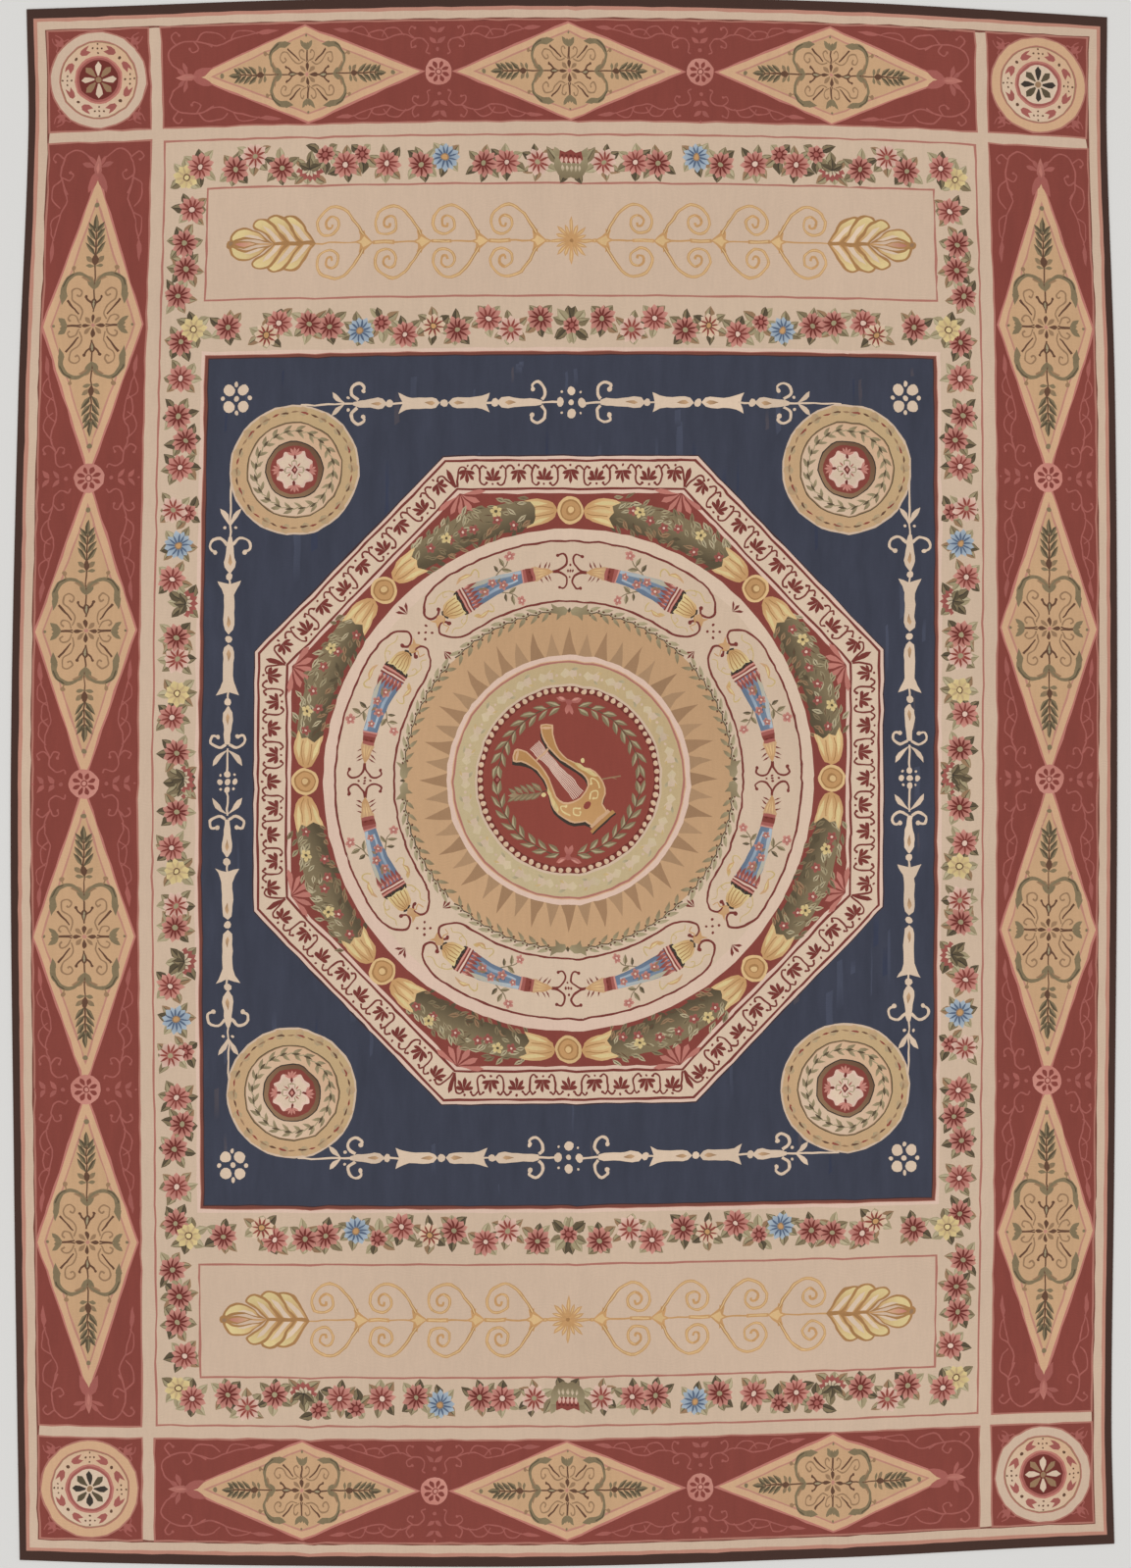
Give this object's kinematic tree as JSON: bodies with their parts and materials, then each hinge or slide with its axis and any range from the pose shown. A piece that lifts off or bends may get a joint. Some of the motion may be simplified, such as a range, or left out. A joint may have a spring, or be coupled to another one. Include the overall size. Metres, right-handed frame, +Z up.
{
  "type": "flat-woven carpet",
  "caption": "Large flat tapestry-woven wool carpet with an octagon medallion, flower garlands and diamond borders, lying open on a floor.",
  "frame": {"origin": "middle of the carpet's outline box, on the underside", "axes": "+X across the carpet, +Y along its length, +Z up from the floor"},
  "size_m": [3.0684, 4.3558, 0.0058],
  "materials": {
    "wool": "matt tapestry-woven wool, ribbed"
  },
  "bodies": {
    "root": {"rug": "wool"}
  },
  "joints": []
}
